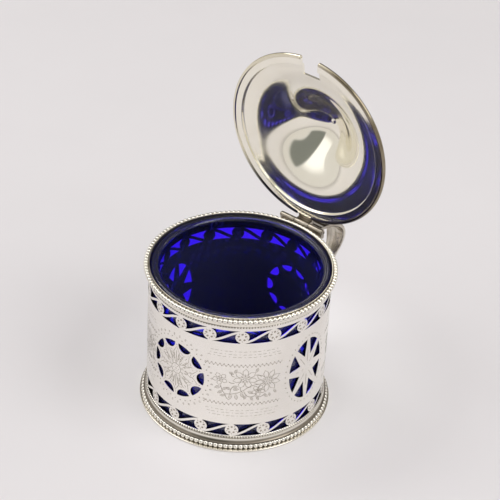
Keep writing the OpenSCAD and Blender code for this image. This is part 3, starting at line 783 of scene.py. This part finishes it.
bell = ((STEP_R - 0.5, STEP_TOP), (STEP_R * 0.395, STEP_TOP + DOME_H * 0.14),
        (STEP_R * 0.405, STEP_TOP + DOME_H * 0.87), (1.6, DOME_Z))
a, b, c, d = (Vector(p) for p in bell)
crown = [a * (1 - t) ** 3 + b * 3 * t * (1 - t) ** 2 + c * 3 * t * t * (1 - t) + d * t ** 3
         for t in (i / 48 for i in range(49))]
crown += [Vector((1.1, DOME_Z + 0.1)), Vector((0.5, DOME_Z + 0.17)), Vector((0, DOME_Z + 0.19))]
shoulder = soft([(LID_R, LID_Z), (STEP_R, LID_Z), (STEP_R, STEP_TOP - 0.1), crown[2]], 0.3)
flange = [Vector((LID_R - (LID_R - shoulder[1][0]) * i / 3, LID_Z)) for i in range(3)]
bm = turned([*flange, *shoulder[1:-1], *crown[2:]], 240, closed=False)
for co, no in (((NOTCH_W / 2, 0, 0), (1, 0, 0)), ((-NOTCH_W / 2, 0, 0), (1, 0, 0)),
               ((0, NOTCH_L - LID_R, 0), (0, 1, 0))):
    near = [f for f in bm.faces
            if f.calc_center_median().y < FRONT_Y * MM and abs(f.calc_center_median().x) < FRONT_X * MM]
    geom = list({g for f in near for g in (*f.verts, *f.edges, f)})
    bmesh.ops.bisect_plane(bm, geom=geom, dist=1e-8, plane_co=Vector(co) * MM, plane_no=no)
inside = [f for f in bm.faces if abs(f.calc_center_median().x) < NOTCH_W / 2 * MM
          and f.calc_center_median().y < (NOTCH_L - LID_R) * MM]
bmesh.ops.delete(bm, geom=inside, context="FACES")
for f in bm.faces:
    f.normal_update()
if sum(f.normal.z for f in bm.faces) > 0:
    bmesh.ops.reverse_faces(bm, faces=bm.faces)
bmesh.ops.solidify(bm, geom=bm.faces[:], thickness=LID_T * MM)
bmesh.ops.recalc_face_normals(bm, faces=bm.faces)
opened(bm)
lid = make_object("raised_lid", bm, [lid_silver])
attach(lid, "lid")
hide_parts("lid_shell")

# Lid edge: a round wire slotted over the sheet's edge and soldered, open at the notch and at the hinge leaf.
# It is handled most; its right side is painted brown as a dark reflection, and towards the hinge it is
# painted darker, to nearly black.
EDGE_W = 1.6
EDGE_EASE = 0.25
NOTCH_GAP = 0.008
BROWN_FROM = -3
BROWN_TO = 12
BLACK_LOW = 66
BLACK_HIGH = 78

# Silver of the edge: smooth and bright on the left, with a painted brown reflection in patches about 5 mm
# across on the right.
edge_silver, tree = new_material("brown_edged_silver")
where = add(tree, "ShaderNodeTexCoord")
cloud = add(tree, "ShaderNodeTexNoise", {"Vector": where.outputs["Object"], "Scale": 1 / (5 * MM),
                                         "Detail": 3.0})
axes = add(tree, "ShaderNodeSeparateXYZ", {"Vector": where.outputs["Object"]})
side = add(tree, "ShaderNodeMapRange", {"Value": axes.outputs["X"], "From Min": BROWN_FROM * MM,
                                        "From Max": BROWN_TO * MM})
patch = add(tree, "ShaderNodeMapRange", {"Value": cloud.outputs["Fac"], "To Min": 0.55, "To Max": 1.0})
reflection_side = add(tree, "ShaderNodeMath", {0: side.outputs["Result"], 1: patch.outputs["Result"]},
             operation="MULTIPLY")
brown = add(tree, "ShaderNodeMix", {"Factor": reflection_side.outputs["Value"], "A": linear("#E9E2CD"),
                                    "B": linear("#6B5C43")}, data_type="RGBA")
low_down = add(tree, "ShaderNodeMapRange", {"Value": axes.outputs["Z"], "From Min": BLACK_HIGH * MM,
                                            "From Max": BLACK_LOW * MM})
colour = add(tree, "ShaderNodeMix", {"Factor": low_down.outputs["Result"], "A": brown.outputs[2],
                                     "B": linear("#45424A")}, data_type="RGBA")
metal = add(tree, "ShaderNodeBsdfPrincipled", {"Base Color": colour.outputs[2], "Metallic": 1.0,
                                               "Roughness": 0.12})
add(tree, "ShaderNodeOutputMaterial", {"Surface": metal.outputs["BSDF"]})
bm = bmesh.new()
notch_a = math.asin(NOTCH_W / 2 / LID_R) + NOTCH_GAP
leaf_a = math.asin(KNUCKLE_L / 2 / LID_R)
for way in (1, -1):
    place = (Matrix.Rotation(-math.pi / 2 + way * notch_a, 4, "Z")
             @ Matrix.Translation((LID_R * MM, 0, (LID_Z + LID_T / 2) * MM))
             @ Matrix.Rotation(math.pi / 2, 4, "X"))
    made = bmesh.ops.create_circle(bm, cap_ends=True, segments=16, radius=EDGE_W / 2 * MM,
                                   matrix=place)["verts"]
    geom = list({g for v in made for g in (v, *v.link_edges, *v.link_faces)})
    bmesh.ops.spin(bm, geom=geom, cent=(0, 0, 0), axis=(0, 0, 1), angle=way * (math.pi - notch_a - leaf_a),
                   steps=120)
bmesh.ops.recalc_face_normals(bm, faces=bm.faces)
ends = [e for e in bm.edges if e.calc_face_angle(0) > 1.2]
bmesh.ops.bevel(bm, geom=ends, offset=EDGE_EASE * MM, offset_type="OFFSET", segments=2, profile=0.5,
                affect="EDGES", material=-1)
opened(bm)
edge_wire = make_object("flange_wire", bm, [edge_silver])
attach(edge_wire, "lid")
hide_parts("lid_edge_wire")

# Hinge on the lid: a leaf of thick sheet soldered on the flange, and the middle knuckle on its web, which
# turns on the pin between the pot's two knuckles. Both are of the same grey silver as those.
LEAF_T = 0.8
LEAF_GAP = 0.3
bm = bmesh.new()
block(bm, (-KNUCKLE_L / 2, STEP_R + LID_T + LEAF_GAP, FLANGE_TOP),
      (KNUCKLE_L / 2, HINGE_Y + WEB_W / 2, FLANGE_TOP + LEAF_T))
opened(bm)
leaf = make_object("lid_leaf", bm, [hinge_silver])
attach(leaf, "lid")
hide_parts("hinge_lid_leaf")
bm = bmesh.new()
barrel(bm, -KNUCKLE_L / 2, KNUCKLE_L / 2, KNUCKLE_D)
block(bm, (-KNUCKLE_L / 2, HINGE_Y - WEB_W / 2, HINGE_Z),
      (KNUCKLE_L / 2, HINGE_Y + WEB_W / 2, FLANGE_TOP))
opened(bm)
knuckle = make_object("hinge_middle_knuckle", bm, [hinge_silver])
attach(knuckle, "lid")
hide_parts("hinge_lid_knuckle")

# Finial: a small urn, turned from the solid silver and polished. Its foot is let into the crown of the
# dome, and it is held by a peg that is riveted and filed flush inside.
FINIAL_H = 8.0
FINIAL_SINK = 0.2
FINIAL_GROW = 0.19
urn = [(1.6, 0.0), (1.6, 0.4), (1.25, 0.75), (1.08, 1.2), (1.05, 1.6), (1.2, 2.0), (1.6, 2.4),
       (2.05, 2.95), (2.35, 3.6), (2.45, 4.3), (2.3, 5.0), (1.95, 5.55), (1.45, 5.95), (0.95, 6.25),
       (0.78, 6.5), (0.8, 6.8), (0.95, 7.1), (0.98, 7.4), (0.85, 7.7), (0.5, 7.93), (0.0, 8.0)]
foot_z = DOME_Z + LID_T - FINIAL_SINK
outline = [(r, foot_z + z * (FINIAL_H + FINIAL_GROW) / FINIAL_H) for r, z in urn]
bm = turned([(0, foot_z), *outline], 64, closed=False)
opened(bm)
finial = make_object("urn_finial", bm, [polished_silver], sharp=50)
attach(finial, "lid")
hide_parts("finial")
head = [(0, 0.02), (0.7, 0.04), (1.0, 0.09), (1.0, 0.3), (0, 0.3)]
bm = turned([(r, DOME_Z + z) for r, z in head], 32, closed=False)
opened(bm)
rivet = make_object("flush_rivet", bm, [lid_silver])
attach(rivet, "lid")
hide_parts("finial_rivet")

# Studio floor: a wide sheet of pale grey paper on a table, with the pot standing on it.
# Close round the pot the paper is painted lighter, a painted pool of light that lifts the pot's shadow; it
# is also lightest where it runs out of sight.
PAINTED_LIGHT_AT = (0.0, 18 * MM, 0.0)
PAINTED_LIGHT_IN = 30
PAINTED_LIGHT_OUT = 76
FAR_IN = 0.3
FAR_OUT = 0.6
FLOOR_HALF = 3.0

# Matt paper: nearly even, with a faint mottle about 40 mm across. Seen through the glass it is plain white.
paper, tree = new_material("pale_paper")
at, paper_grey = clouded(tree, 40, 2.0, "#E3E0E3", "#E0DDE0")
away = add(tree, "ShaderNodeVectorMath", {0: at, 1: PAINTED_LIGHT_AT}, operation="DISTANCE")
middle = add(tree, "ShaderNodeMapRange", {"Value": away.outputs["Value"], "From Min": PAINTED_LIGHT_IN * MM,
                                          "From Max": PAINTED_LIGHT_OUT * MM}, interpolation_type="SMOOTHSTEP")
# Painted light: round the pot the paper is lighter, lifting the pot's own shadow.
near = add(tree, "ShaderNodeMix", {"Factor": middle.outputs["Result"], "A": linear("#F8F6F9"),
                                   "B": paper_grey}, data_type="RGBA")
rim_way = add(tree, "ShaderNodeMapRange", {"Value": away.outputs["Value"], "From Min": FAR_IN,
                                           "From Max": FAR_OUT})
colour = add(tree, "ShaderNodeMix", {"Factor": rim_way.outputs["Result"], "A": near.outputs[2],
                                     "B": linear("#EBE8EA")}, data_type="RGBA")
ray = add(tree, "ShaderNodeLightPath")
colour = add(tree, "ShaderNodeMix", {"Factor": ray.outputs["Is Transmission Ray"], "A": colour.outputs[2],
                                     "B": linear("#FFFFFF")}, data_type="RGBA")
sheet = add(tree, "ShaderNodeBsdfPrincipled", {"Base Color": colour.outputs[2], "Roughness": 0.9,
                                               "Specular IOR Level": 0.1})
add(tree, "ShaderNodeOutputMaterial", {"Surface": sheet.outputs["BSDF"]})
bm = bmesh.new()
bmesh.ops.create_grid(bm, x_segments=1, y_segments=1, size=FLOOR_HALF)
floor = make_object("paper_floor", bm, [paper])
floor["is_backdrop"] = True

# Light tent: white cloth all round, dim behind the pot where no lamp reaches, with one bright panel at
# the front left and a dark slit at the front where the tent is open. Polished silver mirrors all of it.
# Panels: middle and half width in degrees round the pot, heights between which they fade in, and shade.
DIM_WAY = (-0.476, 0.824, 0.309)
DIM_SHADE = (0.26, 0.245, 0.225, 1.0)
PANELS = ((-77, 21, 6, 12, (0.26, 0.275, 0.25, 1.0)), (-119, 20, 13, 32, (1.6, 1.58, 1.54, 1.0)))
TENT_STRENGTH = 0.76
world = bpy.data.worlds.new("light_tent")
bpy.context.scene.world = world
world.use_nodes = True
tree = world.node_tree
tree.nodes.clear()
where = add(tree, "ShaderNodeTexCoord")
axes = add(tree, "ShaderNodeSeparateXYZ", {"Vector": where.outputs["Generated"]})
height = add(tree, "ShaderNodeMapRange", {"Value": axes.outputs["Z"], "From Min": 0.0, "From Max": 0.9})
tent = add(tree, "ShaderNodeMix", {"Factor": height.outputs["Result"], "A": linear("#FAF6F1"),
                                   "B": linear("#FBF8F3")}, data_type="RGBA")
lit = tent.outputs[2]
dim = add(tree, "ShaderNodeVectorMath", {0: where.outputs["Generated"], 1: DIM_WAY},
          operation="DOT_PRODUCT")
behind = add(tree, "ShaderNodeMapRange", {"Value": dim.outputs["Value"], "From Min": 0.47, "From Max": 0.87},
             interpolation_type="SMOOTHSTEP")
lit = add(tree, "ShaderNodeMix", {"Factor": behind.outputs["Result"], "A": lit, "B": DIM_SHADE},
          data_type="RGBA").outputs[2]
azimuth = add(tree, "ShaderNodeMath", {0: axes.outputs["Y"], 1: axes.outputs["X"]}, operation="ARCTAN2")
top = add(tree, "ShaderNodeMapRange", {"Value": axes.outputs["Z"], "From Min": 0.9, "From Max": 0.82},
          interpolation_type="SMOOTHSTEP")
for middle, half, low, high, shade in PANELS:
    off = add(tree, "ShaderNodeMath", {0: azimuth.outputs["Value"], 1: math.radians(middle)},
              operation="SUBTRACT")
    off = add(tree, "ShaderNodeMath", {0: off.outputs["Value"]}, operation="ABSOLUTE")
    across = add(tree, "ShaderNodeMapRange",
                 {"Value": off.outputs["Value"], "From Min": math.radians(half + 2),
                  "From Max": math.radians(half - 2)}, interpolation_type="SMOOTHSTEP")
    rise = add(tree, "ShaderNodeMapRange",
               {"Value": axes.outputs["Z"], "From Min": math.sin(math.radians(low)),
                "From Max": math.sin(math.radians(high))}, interpolation_type="SMOOTHSTEP")
    patch = add(tree, "ShaderNodeMath", {0: across.outputs["Result"], 1: rise.outputs["Result"]},
                operation="MULTIPLY")
    patch = add(tree, "ShaderNodeMath", {0: patch.outputs["Value"], 1: top.outputs["Result"]},
                operation="MULTIPLY")
    lit = add(tree, "ShaderNodeMix", {"Factor": patch.outputs["Value"], "A": lit, "B": shade},
              data_type="RGBA").outputs[2]
ray = add(tree, "ShaderNodeLightPath")
seen = add(tree, "ShaderNodeMix", {"Factor": ray.outputs["Is Camera Ray"], "A": lit, "B": linear("#E2DFE1")},
           data_type="RGBA")
glow = add(tree, "ShaderNodeBackground", {"Color": seen.outputs[2], "Strength": TENT_STRENGTH})
add(tree, "ShaderNodeOutputWorld", {"Surface": glow.outputs["Background"]})

# Lamps: three soft boxes right, left and above, aimed at the pot: name, place, watts and size.
LAMPS = (("lamp_right", (0.62, 0.12, 0.74), 2.4, 0.5), ("lamp_left", (-0.58, -0.1, 0.8), 2.3, 0.6),
         ("lamp_top", (0.0, -0.1, 1.0), 1.0, 0.6))
for name, place, watts, size in LAMPS:
    lamp = bpy.data.lights.new(name, "AREA")
    lamp.energy = watts
    lamp.size = size
    made = bpy.data.objects.new(name, lamp)
    bpy.context.scene.collection.objects.link(made)
    made.location = place
    made.rotation_euler = (Vector((0, 0, 0.05)) - Vector(place)).to_track_quat("-Z", "Y").to_euler()

# Camera: a long lens from above and to the right of the front, fitted to the rim, the foot and the
# pierced bands of the photographed pot, with the slight roll that the picture has.
eye = Vector((309.56, -409.33, 418.1)) * MM
aim = Vector((2.279, 1.728, 63.35)) * MM
roll = math.radians(3.26)
ahead = (aim - eye).normalized()
right = ahead.cross(Vector((0, 0, 1))).normalized()
up = right.cross(ahead)
camera_x = right * math.cos(roll) + up * math.sin(roll)
camera_y = up * math.cos(roll) - right * math.sin(roll)
lens = bpy.data.cameras.new("studio_camera")
lens.lens = 128.16
lens.sensor_width = 36.0
lens.clip_start = 0.01
camera = bpy.data.objects.new("studio_camera", lens)
bpy.context.scene.collection.objects.link(camera)
turn = Matrix((camera_x, camera_y, -ahead)).transposed().to_4x4()
camera.matrix_world = Matrix.Translation(eye) @ turn
bpy.context.scene.camera = camera
bpy.context.scene.view_settings.view_transform = "Standard"

low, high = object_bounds()
